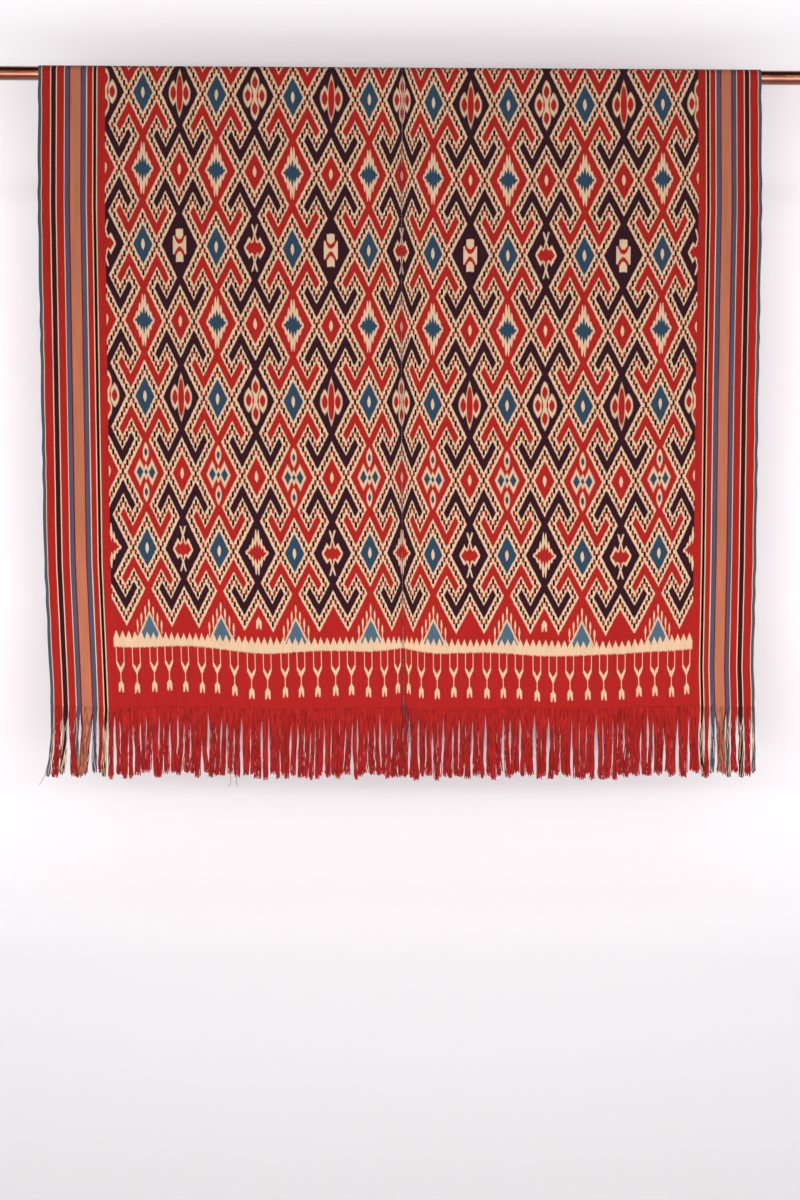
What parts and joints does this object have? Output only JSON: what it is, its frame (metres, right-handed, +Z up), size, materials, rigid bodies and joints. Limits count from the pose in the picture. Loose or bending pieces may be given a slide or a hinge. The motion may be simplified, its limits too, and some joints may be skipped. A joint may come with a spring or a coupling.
{
  "type": "ikat woven cloth on a rod",
  "caption": "Warp ikat cloth of two sewn panels with striped borders and long fringes, hung over a plain round rod.",
  "frame": {"origin": "middle of the rod's axis", "axes": "+X along the rod to the right, the cloth's longer front half faces -Y, +Z up"},
  "size_m": [1.8, 0.049, 1.5025],
  "materials": {
    "woven_cotton": "matt, dyed warp-faced plain weave",
    "loose_warp": "matt, twisted loose warp ends",
    "rod_metal": "satin bronze brown"
  },
  "bodies": {
    "root": {"rod": "rod_metal", "panel_left": "woven_cotton", "panel_right": "woven_cotton", "fringe_front_left": "loose_warp", "fringe_front_right": "loose_warp", "fringe_back_left": "loose_warp", "fringe_back_right": "loose_warp"}
  },
  "joints": []
}
